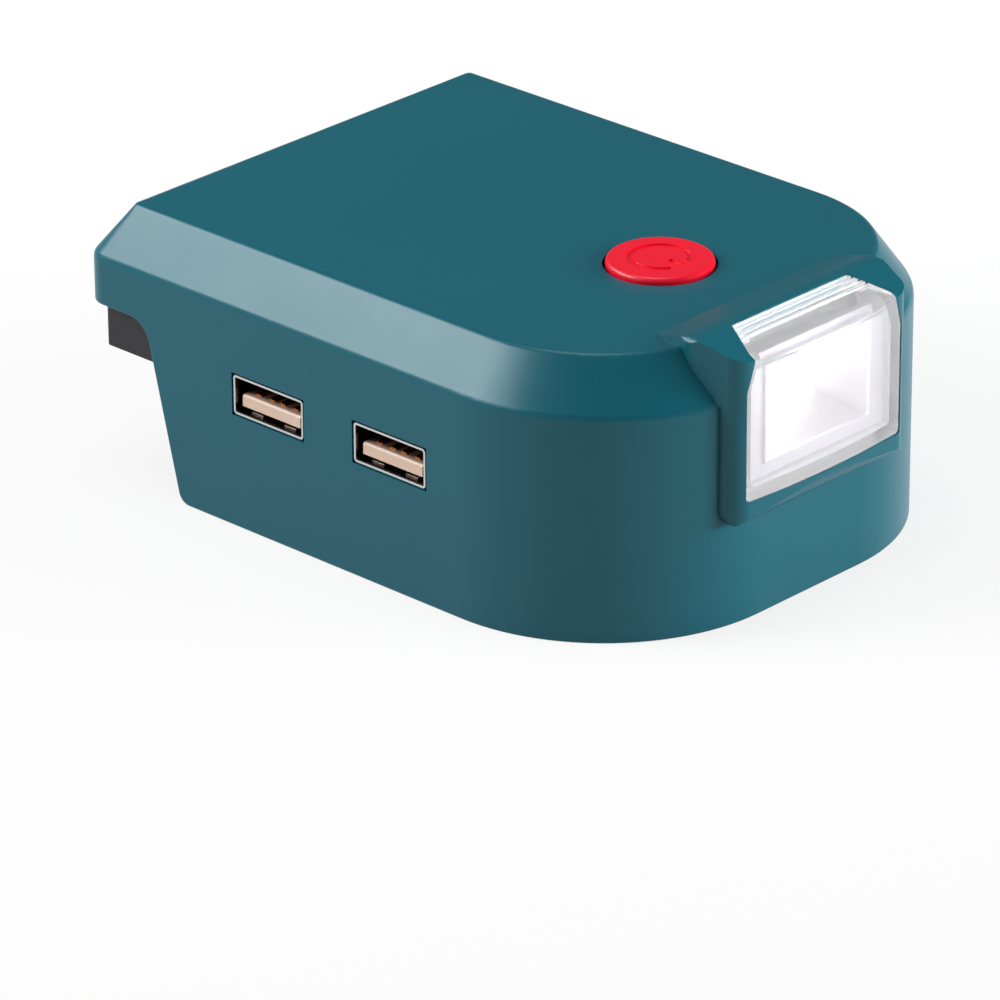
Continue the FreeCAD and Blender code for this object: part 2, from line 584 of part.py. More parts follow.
def circuit_board():
    """Main board: receptacles, 5 V converter, and a front part that the terminals' tabs come up through."""
    left = -INNER_SIDE + BOARD_EDGE_GAP
    under, over = BOARD_BOTTOM - PAST, BOARD_TOP + PAST
    board = block(left, BOARD_RIGHT, BOARD_NOSE, BOARD_REAR, BOARD_BOTTOM, BOARD_TOP)
    clear = BOSS_DIAMETER / 2 + BOARD_NOTCH_GAP
    board = board.cut(block(left - PAST, -BOSS_X + clear, BOARD_NOSE - PAST,
                            FRONT + BOSS_FRONT_IN + clear, under, over))
    for x, y in BOARD_POSTS:
        board = board.cut(rod(SMALL_SCREW["shank"] + 4 * SCREW_HOLE_GAP, x, y, under, over))
    for x in (-TERMINAL_SPACING / 2, TERMINAL_SPACING / 2):
        board = board.cut(terminal_slot(x, under, over))
    return board


def usb_shell(y):
    """Folded steel shell of a type A receptacle, open at the outer wall."""
    x0 = -SIDE + USB_RECESS
    w, h = USB_SHELL_WIDTH / 2, USB_SHELL_HEIGHT / 2
    t = USB_SHELL_WALL
    outer = usb_outline(x0, y, w, h, USB_SHELL_RADIUS, USB_SHELL_LENGTH)
    inner = usb_outline(x0 - PAST, y, w - t, h - t, USB_SHELL_INNER_RADIUS, USB_SHELL_LENGTH + PAST - t)
    return outer.cut(inner)


def usb_outline(x, y, w, h, radius, length):
    """Rounded bar along X, centred on a port."""
    low, high = USB_HEIGHT - h, USB_HEIGHT + h
    return prism([V(x, y - w, low), V(x, y + w, low), V(x, y + w, high), V(x, y - w, high)],
                 [radius] * 4, V(length, 0, 0))


def usb_tongue(y):
    """Moulded insert: a block at the back of the shell with the tongue in front of it."""
    back = -SIDE + USB_RECESS + USB_SHELL_LENGTH - USB_SHELL_WALL
    front = back - USB_ROOT_LENGTH
    w = USB_SHELL_WIDTH / 2 - USB_SHELL_WALL - USB_INSERT_GAP
    h = USB_SHELL_HEIGHT / 2 - USB_SHELL_WALL - USB_INSERT_GAP
    root = block(front, back, y - w, y + w, USB_HEIGHT - h, USB_HEIGHT + h)
    under = USB_HEIGHT - h + USB_TONGUE_RISE
    top = under + USB_TONGUE_THICK
    tip = front - USB_TONGUE_LENGTH
    side = y - USB_TONGUE_WIDTH / 2
    tongue = prism([V(tip, side, under), V(front, side, under), V(front, side, top),
                    V(tip + USB_TONGUE_CHAMFER, side, top), V(tip, side, top - USB_TONGUE_CHAMFER)],
                   [0] * 5, V(0, USB_TONGUE_WIDTH, 0))
    return root.fuse(tongue).removeSplitter()


def usb_contacts(y):
    """Four sprung contacts lying on the tongue."""
    back = -SIDE + USB_RECESS + USB_SHELL_LENGTH - USB_SHELL_WALL
    front = back - USB_ROOT_LENGTH
    h = USB_SHELL_HEIGHT / 2 - USB_SHELL_WALL - USB_INSERT_GAP
    top = USB_HEIGHT - h + USB_TONGUE_RISE + USB_TONGUE_THICK
    strips = []
    for dy in USB_CONTACT_OFFSETS:
        strips.append(block(front - USB_CONTACT_LENGTH, front, y + dy - USB_CONTACT_WIDTH / 2,
                            y + dy + USB_CONTACT_WIDTH / 2, top, top + USB_CONTACT_THICK))
    return Part.makeCompound(strips)


def button_cap():
    """Red push button, with a retaining flange under the lid and a stem to the switch."""
    cap = rod(BUTTON_DIAMETER, 0, BUTTON_Y, FLANGE_BOTTOM, BUTTON_TOP)
    rim = [e for e in cap.Edges if abs(e.BoundBox.ZMin - BUTTON_TOP) < NEAR]
    cap = cap.makeFillet(BUTTON_EDGE_RADIUS, rim)
    cap = cap.fuse(rod(FLANGE_DIAMETER, 0, BUTTON_Y, FLANGE_BOTTOM, FLANGE_TOP))
    cap = cap.fuse(rod(STEM_DIAMETER, 0, BUTTON_Y, STEM_BOTTOM, FLANGE_TOP)).removeSplitter()
    return cap.cut(power_symbol())


def power_symbol():
    """Generic broken ring with a bar towards the lamp, sunk into the button's face."""
    z0, z1 = BUTTON_TOP - SYMBOL_DEPTH, BUTTON_TOP + PAST
    ring = rod(2 * SYMBOL_RADIUS + SYMBOL_LINE, 0, BUTTON_Y, z0, z1)
    ring = ring.cut(rod(2 * SYMBOL_RADIUS - SYMBOL_LINE, 0, BUTTON_Y, z0 - PAST, z1 + PAST))
    ring = ring.cut(block(-SYMBOL_GAP / 2, SYMBOL_GAP / 2, BUTTON_Y - SYMBOL_RADIUS - PAST, BUTTON_Y,
                          z0 - PAST, z1 + PAST))
    bar = block(-SYMBOL_LINE / 2, SYMBOL_LINE / 2, BUTTON_Y - SYMBOL_BAR_END, BUTTON_Y - SYMBOL_BAR_START,
                z0, z1)
    return Part.makeCompound([ring, bar])


def switch_base():
    """Square body of the push switch, with a bore for its plunger."""
    half = SWITCH_SIZE / 2
    body = block(-half, half, BUTTON_Y - half, BUTTON_Y + half, SWITCH_BOTTOM, SWITCH_TOP)
    return body.cut(rod(PLUNGER_DIAMETER + 2 * FIT, 0, BUTTON_Y,
                        SWITCH_BOTTOM + SWITCH_WALL, SWITCH_TOP + PAST))


def switch_plunger():
    """Short post in the switch that the button's stem pushes down."""
    return rod(PLUNGER_DIAMETER, 0, BUTTON_Y, PLUNGER_TOP - PLUNGER_LENGTH, PLUNGER_TOP)


def switch_dome():
    """Snap disc on the floor of the switch."""
    floor = SWITCH_BOTTOM + SWITCH_WALL
    radius = PLUNGER_DIAMETER / 2
    sphere_radius = (radius ** 2 + DOME_RISE ** 2) / (2 * DOME_RISE)
    centre = V(0, BUTTON_Y, floor + DOME_RISE - sphere_radius)
    outer = Part.makeSphere(sphere_radius, centre)
    inner = Part.makeSphere(sphere_radius - DOME_THICK, centre)
    return outer.cut(inner).common(rod(PLUNGER_DIAMETER, 0, BUTTON_Y, floor, floor + PAST))


def switch_board():
    """Small board under the lid that holds the switch."""
    half = SWITCH_BOARD_LENGTH / 2
    low = SWITCH_BOTTOM - SWITCH_BOARD_THICK
    board = block(-half, half, BUTTON_Y - SWITCH_BOARD_DEPTH / 2, BUTTON_Y + SWITCH_BOARD_DEPTH / 2,
                  low, SWITCH_BOTTOM)
    for x, y, z in switch_screw_points():
        board = board.cut(rod(SMALL_SCREW["shank"] + 4 * SCREW_HOLE_GAP, x, y, low - PAST, z + PAST))
    return board


def switch_links():
    """Two solid wire links from the switch board down to the main board."""
    y = BUTTON_Y + SWITCH_BOARD_DEPTH / 2 - LINK_EDGE_INSET
    low = SWITCH_BOTTOM - SWITCH_BOARD_THICK
    return Part.makeCompound([rod(LINK_DIAMETER, x, y, BOARD_TOP, low) for x in LINK_PLACES])


def lamp_lens():
    """Clear box-shaped lens: front wall, top wall and the sides that reach into the window."""
    back = FRONT + LENS_BACK_IN
    outer = pod_form(LENS_RECESS).common(window_prism(0, back))
    inner = pod_form(LENS_RECESS + LENS_WALL).common(window_prism(-LENS_WALL, back))
    lens = outer.cut(inner)
    floor = pod_form(LENS_RECESS + LENS_STEP_DEPTH)
    for i in range(LENS_STEPS):
        y = back - (i + 1) * LENS_STEP_PITCH
        strip = block(-SIDE, SIDE, y, y + LENS_STEP_WIDTH, LENS_SHOULDER, POD_APEX_HEIGHT + PAST)
        lens = lens.cut(strip.cut(floor))
    return lens


def lamp_reflector():
    """Bright rectangular reflector with a flat rim behind the lens."""
    y0 = FRONT - POD_PROUD + POD_BOW + LENS_RECESS + LENS_WALL + FIT + REFLECTOR_BEAD
    y1 = LAMP_BOARD_FRONT
    t = REFLECTOR_WALL
    half = LENS_HALF_WIDTH - LENS_WALL - 2 * FIT
    rim = block(-half, half, y0, y0 + t, LENS_BOTTOM + LENS_WALL + 2 * FIT, REFLECTOR_TOP + REFLECTOR_LIP)
    inside = window_prism(-LENS_WALL - FIT, y1 + t)
    cone = rectangle_loft(t, y0, y1)
    bead = rectangle_loft(REFLECTOR_BEAD, y0 - REFLECTOR_BEAD, y0)
    mouth = block(-REFLECTOR_HALF_WIDTH, REFLECTOR_HALF_WIDTH, y0 - REFLECTOR_BEAD, y0,
                  REFLECTOR_BOTTOM, REFLECTOR_TOP)
    body = rim.fuse([cone, bead]).common(inside).cut(mouth).cut(rectangle_loft(0, y0, y1))
    return body.removeSplitter()


def rectangle_loft(grow, y0, y1):
    """Block that narrows from the reflector's mouth to its back."""
    taper = REFLECTOR_TAPER if y1 - y0 > REFLECTOR_TAPER / 2 else 0

    def ring(y, shrink):
        x = REFLECTOR_HALF_WIDTH + grow - shrink
        z0, z1 = REFLECTOR_BOTTOM - grow + shrink, REFLECTOR_TOP + grow - shrink
        return Part.makePolygon([V(-x, y, z0), V(x, y, z0), V(x, y, z1), V(-x, y, z1), V(-x, y, z0)])
    return Part.makeLoft([ring(y0, 0), ring(y1, taper)], True, True)


def lamp_board():
    """Aluminium board that carries the light emitters."""
    half = LAMP_BOARD_HALF_WIDTH
    board = block(-half, half, LAMP_BOARD_FRONT, LAMP_BOARD_BACK, LAMP_BOARD_BOTTOM, LAMP_BOARD_TOP)
    radius = SMALL_SCREW["shank"] / 2 + 2 * SCREW_HOLE_GAP
    for x, y, z in lamp_screw_points():
        board = board.cut(Part.makeCylinder(radius, LAMP_BOARD_THICK, V(x, LAMP_BOARD_FRONT, z), V(0, 1, 0)))
    return board


def lamp_emitters():
    """Six square light emitters in two rows on the lamp board."""
    chips = []
    middle = (REFLECTOR_BOTTOM + REFLECTOR_TOP) / 2
    half = LAMP_CHIP_SIZE / 2
    for row in (-0.5, 0.5):
        for column in (-1, 0, 1):
            x = column * LAMP_CHIP_PITCH
            z = middle + row * LAMP_CHIP_ROWS
            chips.append(block(x - half, x + half, LAMP_BOARD_FRONT - LAMP_CHIP_THICK, LAMP_BOARD_FRONT,
                               z - half, z + half))
    return Part.makeCompound(chips)


def switch_screw_points():
    return [(sx * SWITCH_POST_OFFSET, BUTTON_Y, SWITCH_BOTTOM) for sx in (-1, 1)]


def lamp_screw_points():
    z = (LAMP_BOARD_BOTTOM + LAMP_BOARD_TOP) / 2
    return [(sx * (LAMP_BOARD_HALF_WIDTH - LAMP_POST_WIDTH / 2), LAMP_BOARD_BACK, z) for sx in (-1, 1)]


def screw(size):
    """Cross-recess screw with its head's seat at the origin and its shank along +Z."""
    head = Part.makeCylinder(size["head"] / 2, size["head_height"], V(0, 0, -size["head_height"]))
    rim = [e for e in head.Edges if abs(e.BoundBox.ZMax + size["head_height"]) < NEAR]
    head = head.makeFillet(size["head_height"] * SCREW_HEAD_ROUND, rim)
    straight = size["length"] - SCREW_POINT
    shank = Part.makeCylinder(size["shank"] / 2, straight)
    point = Part.makeCone(size["shank"] / 2, size["shank"] / 6, SCREW_POINT, V(0, 0, straight))
    body = head.fuse([shank, point])
    arm, slot = size["head"] * SCREW_SLOT_REACH, size["head"] * SCREW_SLOT_WIDTH
    for a, b in ((arm, slot), (slot, arm)):
        body = body.cut(block(-a, a, -b, b, -size["head_height"] - PAST, -size["head_height"] / 2))
    return body.removeSplitter()


def placed(shape, x, y, z, axis, angle):
    """Copy of a shape, turned about the origin and then moved."""
    copy = shape.copy()
    copy.rotate(V(0, 0, 0), axis, angle)
    copy.translate(V(x, y, z))
    return copy


def housing_screws():
    one = screw(HOUSING_SCREW)
    seat = BOSS_SEAT - TRAY_THICK
    return Part.makeCompound([placed(one, x, y, seat, V(0, 0, 1), SCREW_TURN * i)
                              for i, (x, y) in enumerate(BOSSES)])


def board_screws():
    one = screw(dict(SMALL_SCREW, length=BOARD_TOP - TRAY_FLOOR - 2 * FIT))
    return Part.makeCompound([placed(one, x, y, BOARD_TOP, V(1, 0, 0), 180) for x, y in BOARD_POSTS])


def switch_board_screws():
    one = screw(SMALL_SCREW)
    low = SWITCH_BOTTOM - SWITCH_BOARD_THICK
    return Part.makeCompound([placed(one, x, y, low, V(0, 0, 1), 0) for x, y, z in switch_screw_points()])


def lamp_board_screws():
    one = screw(SMALL_SCREW)
    return Part.makeCompound([placed(one, x, LAMP_BOARD_FRONT, z, V(1, 0, 0), -90)
                              for x, y, z in lamp_screw_points()])


def power_inductor():
    """Drum choke of the converter, with a waist for its winding."""
    x, y = INDUCTOR_X, BOARD_FRONT + INDUCTOR_FROM_FRONT
    low, high = BOARD_TOP + INDUCTOR_FLANGE, BOARD_TOP + INDUCTOR_HEIGHT - INDUCTOR_FLANGE
    core = rod(INDUCTOR_DIAMETER, x, y, BOARD_TOP, BOARD_TOP + INDUCTOR_HEIGHT)
    waist = rod(INDUCTOR_DIAMETER + PAST, x, y, low, high)
    return core.cut(waist.cut(rod(INDUCTOR_DIAMETER - 2 * INDUCTOR_WAIST_IN, x, y, low, high)))


def inductor_winding():
    """Copper winding in the waist of the choke."""
    x, y = INDUCTOR_X, BOARD_FRONT + INDUCTOR_FROM_FRONT
    gap = INDUCTOR_FLANGE + WINDING_GAP
    low, high = BOARD_TOP + gap, BOARD_TOP + INDUCTOR_HEIGHT - gap
    coil = rod(INDUCTOR_DIAMETER - 2 * WINDING_RECESS, x, y, low, high)
    return coil.cut(rod(INDUCTOR_DIAMETER - 2 * (INDUCTOR_WAIST_IN - WINDING_GAP), x, y, low, high))


def capacitors():
    """Two input capacitors and one output capacitor of the converter."""
    places = [(INPUT_CAPACITOR_X, BOARD_FRONT + d) for d in INPUT_CAPACITORS_FROM_FRONT]
    places.append((OUTPUT_CAPACITOR_X, BOARD_REAR - OUTPUT_CAPACITOR_FROM_REAR))
    top = BOARD_TOP + CAPACITOR_HEIGHT
    cans = []
    for x, y in places:
        can = rod(CAPACITOR_DIAMETER, x, y, BOARD_TOP, top)
        rim = [e for e in can.Edges if abs(e.BoundBox.ZMin - top) < NEAR]
        cans.append(can.makeFillet(CAPACITOR_EDGE, rim))
    return Part.makeCompound(cans)


def converter_chip():
    """Converter chip with four legs on each side."""
    x, y = CHIP_X, BOARD_FRONT + CHIP_FROM_FRONT
    body = block(x - CHIP_LENGTH / 2, x + CHIP_LENGTH / 2, y - CHIP_WIDTH / 2, y + CHIP_WIDTH / 2,
                 BOARD_TOP + CHIP_STANDOFF, BOARD_TOP + CHIP_HEIGHT)
    reach = CHIP_WIDTH / 2 + LEG_REACH
    for i in range(4):
        leg = x + (i - 1.5) * LEG_PITCH
        body = body.fuse(block(leg - LEG_WIDTH / 2, leg + LEG_WIDTH / 2, y - reach, y + reach,
                               BOARD_TOP, BOARD_TOP + LEG_THICK))
    return body


def charge_chips():
    """One small port controller behind each receptacle."""
    half = PORT_CHIP_SIZE / 2
    return Part.makeCompound([block(PORT_CHIP_X - half, PORT_CHIP_X + half, y - half, y + half,
                                    BOARD_TOP, BOARD_TOP + PORT_CHIP_HEIGHT) for y in USB_CENTRES])


def fuse():
    """Surface fuse next to the positive terminal."""
    x, y = TERMINAL_SPACING / 2, BOARD_FRONT + FUSE_FROM_FRONT
    return block(x - FUSE_WIDTH / 2, x + FUSE_WIDTH / 2, y, y + FUSE_LENGTH,
                 BOARD_TOP, BOARD_TOP + FUSE_HEIGHT)


def lamp_lead(x):
    """Insulated lead from the back of the lamp board to the main board."""
    z = (LAMP_BOARD_BOTTOM + LAMP_BOARD_TOP) / 2 - LEAD_DROP
    y0, y1 = LAMP_BOARD_BACK, BOARD_FRONT + LEAD_INSET
    start, corner, end = V(x, y0, z), V(x, y1, z), V(x, y1, BOARD_TOP)
    bend_in, bend_out = corner - V(0, LEAD_BEND, 0), corner - V(0, 0, LEAD_BEND)
    turn = math.sin(math.pi / 4) * LEAD_BEND
    middle = V(x, y1 - LEAD_BEND + turn, z - LEAD_BEND + turn)
    route = Part.Wire([Part.LineSegment(start, bend_in).toShape(),
                       Part.Arc(bend_in, middle, bend_out).toShape(),
                       Part.LineSegment(bend_out, end).toShape()])
    ring = Part.Wire([Part.makeCircle(LEAD_DIAMETER / 2, start, V(0, 1, 0))])
    return route.makePipeShell([ring], True, True)


def pieces():
    """Every piece by its name."""
    made = {
        "upper_shell": upper_shell(),
        "base_tray": base_tray(),
        "terminal_block": terminal_block(),
        "positive_terminal": terminal(TERMINAL_SPACING / 2),
        "negative_terminal": terminal(-TERMINAL_SPACING / 2),
        "circuit_board": circuit_board(),
        "button_cap": button_cap(),
        "switch_base": switch_base(),
        "switch_plunger": switch_plunger(),
        "switch_dome": switch_dome(),
        "switch_board": switch_board(),
        "switch_links": switch_links(),
        "lamp_lens": lamp_lens(),
        "lamp_reflector": lamp_reflector(),
        "lamp_board": lamp_board(),
        "lamp_emitters": lamp_emitters(),
        "lamp_lead_red": lamp_lead(LEAD_OFFSET),
        "lamp_lead_black": lamp_lead(-LEAD_OFFSET),
        "power_inductor": power_inductor(),
        "inductor_winding": inductor_winding(),
        "capacitors": capacitors(),
        "converter_chip": converter_chip(),
        "charge_chips": charge_chips(),
        "fuse": fuse(),
        "housing_screws": housing_screws(),
        "board_screws": board_screws(),
        "switch_board_screws": switch_board_screws(),
        "lamp_board_screws": lamp_board_screws(),
    }
    for name, y in zip(("rear", "front"), USB_CENTRES):
        made["usb_shell_" + name] = usb_shell(y)
        made["usb_tongue_" + name] = usb_tongue(y)
        made["usb_contacts_" + name] = usb_contacts(y)
    return made


os.makedirs("parts", exist_ok=True)
for node, shape in pieces().items():
    shape.exportStep("parts/" + node + ".step")
    print(node, "solids", len(shape.Solids), "valid", shape.isValid(), "volume", round(shape.Volume, 1))
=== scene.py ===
import math

import bpy
from mathutils import Matrix, Vector


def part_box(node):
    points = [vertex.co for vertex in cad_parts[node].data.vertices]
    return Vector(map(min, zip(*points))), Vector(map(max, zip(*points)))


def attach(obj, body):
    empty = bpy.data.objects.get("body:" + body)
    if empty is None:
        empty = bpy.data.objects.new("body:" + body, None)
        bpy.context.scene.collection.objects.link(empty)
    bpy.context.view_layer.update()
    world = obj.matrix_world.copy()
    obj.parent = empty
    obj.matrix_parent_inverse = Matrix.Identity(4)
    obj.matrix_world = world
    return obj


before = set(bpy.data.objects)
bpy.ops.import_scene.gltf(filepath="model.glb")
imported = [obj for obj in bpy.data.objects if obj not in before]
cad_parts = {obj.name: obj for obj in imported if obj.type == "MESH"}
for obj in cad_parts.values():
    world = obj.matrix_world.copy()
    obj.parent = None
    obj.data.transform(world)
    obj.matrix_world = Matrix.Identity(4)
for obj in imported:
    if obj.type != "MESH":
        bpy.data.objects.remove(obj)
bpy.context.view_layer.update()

# ---------------------------------------------------------------- camera
# A long lens looks down at the socket side and the lamp end, as in the product picture.
# Its place, turn and focal length are those of the pinhole that fits the housing's edges.
camera_place = (-0.622986, -0.583594, 0.398349)
camera_heading = math.radians(-46.4434)
camera_tilt = math.radians(64.8678)
camera_roll = math.radians(-0.33)
sensor_mm = 36
focal_mm = 247.13

camera_data = bpy.data.cameras.new("product_camera")
camera_data.sensor_width = sensor_mm
camera_data.lens = focal_mm
camera = bpy.data.objects.new("product_camera", camera_data)
bpy.context.scene.collection.objects.link(camera)
turn = Matrix.Rotation(camera_heading, 4, "Z") @ Matrix.Rotation(camera_tilt, 4, "X")
camera.matrix_world = Matrix.Translation(camera_place) @ turn @ Matrix.Rotation(camera_roll, 4, "Z")
bpy.context.scene.camera = camera
bpy.context.scene.view_settings.view_transform = "Standard"


# ---------------------------------------------------------------- floor and studio
# A matt white sweep under the object, which shows white to the eye and still takes the shadow.
# A strip behind gives glossy faces their sheen, large soft fills give matt colour its light, and
# only the strip and the overhead box are mirrored, so no face blows out from another side.
def colour(code):
    """Linear colour of an sRGB hex value."""
    parts = [int(code[i:i + 2], 16) / 255 for i in (1, 3, 5)]
    return [c / 12.92 if c <= 0.04045 else ((c + 0.055) / 1.055) ** 2.4 for c in parts] + [1.0]


def add_node(tree, kind, sockets=None, links=None, **settings):
    """Add a node, set it and its sockets, and link its inputs to outputs of other nodes."""
    made = tree.nodes.new(kind)
    for name, value in settings.items():
        setattr(made, name, value)
    for name, value in (sockets or {}).items():
        made.inputs[name].default_value = value
    for name, output in (links or {}).items():
        tree.links.new(output, made.inputs[name])
    return made


def new_material(name):
    """Empty material and its node tree."""
    material = bpy.data.materials.new(name)
    material.use_nodes = True
    material.node_tree.nodes.clear()
    return material, material.node_tree


sweep_size = 3.0
sweep_own_white = 0.8
room_light = 0.15

bpy.ops.object.select_all(action="DESELECT")
bpy.ops.mesh.primitive_plane_add(size=sweep_size, location=(0, 0, 0))
sweep = bpy.context.active_object
sweep.name = "studio_sweep"
white_paper, tree = new_material("white_paper")
path = add_node(tree, "ShaderNodeLightPath")
seen = add_node(tree, "ShaderNodeMath", operation="MAXIMUM",
                links={0: path.outputs["Is Camera Ray"], 1: path.outputs["Is Glossy Ray"]})
seen = add_node(tree, "ShaderNodeMath", operation="MAXIMUM",
                links={0: seen.outputs[0], 1: path.outputs["Is Transmission Ray"]})
share = add_node(tree, "ShaderNodeMath", {1: sweep_own_white}, {0: seen.outputs[0]}, operation="MULTIPLY")
shade = add_node(tree, "ShaderNodeMix", {6: colour("#B4B4B4"), 7: colour("#FFFFFF")},
                 {0: seen.outputs[0]}, data_type="RGBA")
matt = add_node(tree, "ShaderNodeBsdfDiffuse", {"Roughness": 1.0}, {"Color": shade.outputs[2]})
glow = add_node(tree, "ShaderNodeEmission", {"Color": colour("#FFFFFF"), "Strength": 1.0})
mixed = add_node(tree, "ShaderNodeMixShader",
                 links={0: share.outputs[0], 1: matt.outputs[0], 2: glow.outputs[0]})
add_node(tree, "ShaderNodeOutputMaterial", links={"Surface": mixed.outputs[0]})
sweep.data.materials.append(white_paper)

room = bpy.data.worlds.new("studio_room")
room.use_nodes = True
tree = room.node_tree
tree.nodes.clear()
air = add_node(tree, "ShaderNodeBackground", {"Color": colour("#FFFFFF"), "Strength": room_light})
add_node(tree, "ShaderNodeOutputWorld", links={"Surface": air.outputs[0]})
bpy.context.scene.world = room

# Each: side it stands on, distance, width, height, watts, mirrored in gloss, lights matt colour.
softboxes = {
    "sheen_strip": ((-0.583, 0.603, 0.545), 0.9, 1.0, 0.2, 9.6, True, False),
    "overhead_box": ((-0.05, 0.1, 1.0), 1.0, 0.5, 0.5, 3.0, True, True),
    "fill_behind_left": ((-0.61, 0.62, 0.485), 0.9, 0.45, 0.45, 6.8, False, True),
    "fill_lamp_end": ((0.45, -0.88, 0.15), 1.2, 0.6, 0.6, 10.0, False, True),
    "fill_right": ((0.78, -0.62, 0.12), 1.2, 0.6, 0.6, 14.0, False, True),
}
aim = Vector((0, 0, 0.02))
for name, (side, distance, width, height, watts, mirrored, filling) in softboxes.items():
    lamp = bpy.data.lights.new(name, "AREA")
    lamp.shape = "RECTANGLE"
    lamp.size = width
    lamp.size_y = height
    lamp.energy = watts
    softbox = bpy.data.objects.new(name, lamp)
    bpy.context.scene.collection.objects.link(softbox)
    softbox.location = aim + Vector(side).normalized() * distance
    softbox.rotation_euler = (softbox.location - aim).to_track_quat("Z", "Y").to_euler()
    softbox.visible_camera = False
    softbox.visible_glossy = mirrored
    softbox.visible_diffuse = filling


# ---------------------------------------------------------------- upper housing
# Moulded in teal ABS, 2.4 mm thick, in a tool with a fine spark-eroded finish: a satin skin
# with a grain of about 0.1 mm, drawn at 0.25 mm here so that it can be seen at all.
flow_scale = 34.0  # flow marks about 30 mm across
patch_scale = 150.0  # duller and glossier patches about 7 mm across
grain_share = 0.35  # how much the grain adds to the patches
skin_range = (0.4, 0.95)
skin_spread = 0.02


def dress(node, material):
    """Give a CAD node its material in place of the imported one."""
    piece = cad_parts[node]
    if not piece.material_slots:
        piece.data.materials.append(material)
    for material_slot in piece.material_slots:
        material_slot.material = material


def add_painted_shade(tree, place, tint, painted_shade):
    """Paint shade into a colour: darken it along X between two places, and only below a height where one
    is given.
    """
    shade, start, end = painted_shade[:3]
    along = add_node(tree, "ShaderNodeSeparateXYZ", links={"Vector": place})
    amount = add_node(tree, "ShaderNodeMapRange", {"From Min": start, "From Max": end},
                      {"Value": along.outputs["X"]})
    if len(painted_shade) > 3:
        inside = add_node(tree, "ShaderNodeMath", {1: painted_shade[3]}, {0: along.outputs["Z"]},
                          operation="LESS_THAN")
        amount = add_node(tree, "ShaderNodeMath", links={0: amount.outputs[0], 1: inside.outputs[0]},
                          operation="MULTIPLY")
    return add_node(tree, "ShaderNodeMix", {7: colour(shade)},
                    {0: amount.outputs[0], 6: tint.outputs[2]}, data_type="RGBA")


def moulded_plastic(name, main, other, roughness, grain_mm, depth_mm, gloss=0.5, painted_shade=None):
    """Injection-moulded plastic: flow marks in the colour, a grain in roughness and relief, and painted
    shade where given.
    """
    material, tree = new_material(name)
    place = add_node(tree, "ShaderNodeTexCoord").outputs["Object"]
    flow = add_node(tree, "ShaderNodeTexNoise", {"Scale": flow_scale, "Detail": 3.0, "Roughness": 0.45},
                    {"Vector": place})
    tint = add_node(tree, "ShaderNodeMix", {6: colour(main), 7: colour(other)},
                    {0: flow.outputs["Fac"]}, data_type="RGBA")
    # Painted shade, darkening the colour inwards, where one is given.
    if painted_shade:
        tint = add_painted_shade(tree, place, tint, painted_shade)
    grain = add_node(tree, "ShaderNodeTexNoise",
                     {"Scale": 1000 / grain_mm, "Detail": 2.0, "Roughness": 0.55}, {"Vector": place})
    patches = add_node(tree, "ShaderNodeTexNoise", {"Scale": patch_scale, "Detail": 4.0},
                       {"Vector": place})
    both = add_node(tree, "ShaderNodeMath", {1: grain_share},
                    {0: grain.outputs["Fac"], 2: patches.outputs["Fac"]}, operation="MULTIPLY_ADD")
    rough = add_node(tree, "ShaderNodeMapRange",
                     {"From Min": skin_range[0], "From Max": skin_range[1],
                      "To Min": roughness - skin_spread, "To Max": roughness + skin_spread},
                     {"Value": both.outputs[0]})
    relief = add_node(tree, "ShaderNodeBump", {"Strength": 0.5, "Distance": depth_mm / 1000},
                      {"Height": grain.outputs["Fac"]})
    skin = add_node(tree, "ShaderNodeBsdfPrincipled", {"IOR": 1.5, "Specular IOR Level": gloss},
                    {"Base Color": tint.outputs[2], "Roughness": rough.outputs[0],
                     "Normal": relief.outputs[0]})
    add_node(tree, "ShaderNodeOutputMaterial", links={"Surface": skin.outputs[0]})
    return material


teal_abs = moulded_plastic("teal_abs", "#0C5E6D", "#0F6271", 0.34, 0.25, 0.012, gloss=0.34)
dress("upper_shell", teal_abs)


# ---------------------------------------------------------------- base tray
# Moulded in black glass-filled nylon, which is duller and coarser than the housing, with a
# faint paler flow in it. Four screws from below hold it in the housing.
black_nylon = moulded_plastic("black_nylon", "#17171D", "#1F1F26", 0.5, 0.4, 0.02, gloss=0.45)
dress("base_tray", black_nylon)
dress("terminal_block", black_nylon)


# ---------------------------------------------------------------- blade terminals
# Stamped from 0.8 mm brass and tinned, bright with fine rolling lines along the blade.
# Each stands in the holder, and its tab goes up through the tray into the board.
cloud_scale = 260.0  # duller clouds about 4 mm across
line_stretch = 0.04  # rolling lines are 25 times as long as wide
line_depth = 0.000006
smoother, rougher = 0.06, 0.1


